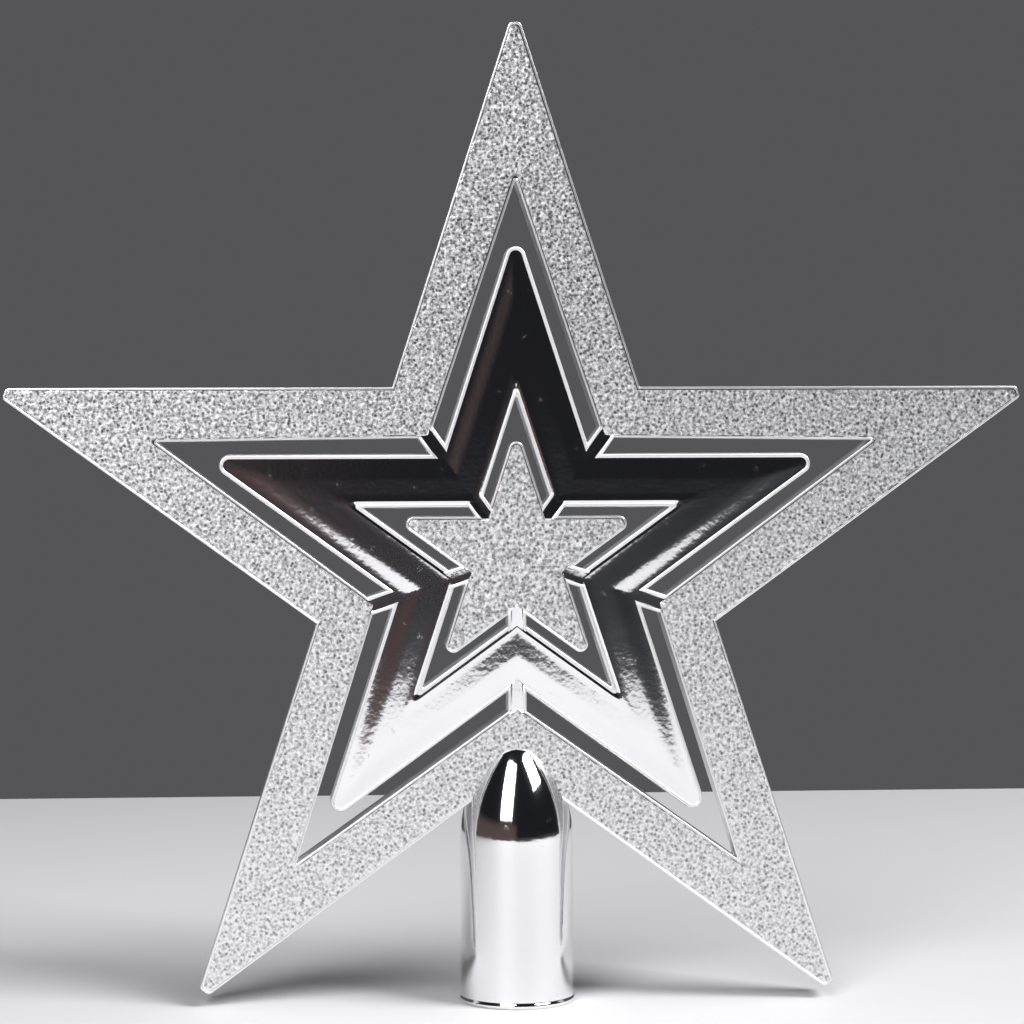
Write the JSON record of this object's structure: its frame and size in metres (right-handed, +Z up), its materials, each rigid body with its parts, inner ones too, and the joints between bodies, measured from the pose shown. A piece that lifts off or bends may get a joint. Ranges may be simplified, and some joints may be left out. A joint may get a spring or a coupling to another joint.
{
  "type": "tree-topper star",
  "caption": "Silver star ornament of nested star shells, grained and mirror-bright, on a domed socket tube that slips over the top shoot of a tree.",
  "frame": {"origin": "centre of the socket tube's open foot, on the tube's axis", "axes": "+Z up along the tube's axis towards the top point, +X along the star's width, -Y out of the front face"},
  "size_m": [0.2, 0.0228, 0.1928],
  "materials": {
    "grained_silver": "pebble-grained vacuum-metallised plastic with smooth rims",
    "mirror_silver": "mirror-bright vacuum-metallised plastic"
  },
  "bodies": {
    "root": {"outer_star_front": "grained_silver", "outer_star_back": "grained_silver", "middle_star_front": "mirror_silver", "middle_star_back": "mirror_silver", "inner_star_front": "grained_silver", "inner_star_back": "grained_silver", "socket_tube": "mirror_silver"}
  },
  "joints": []
}
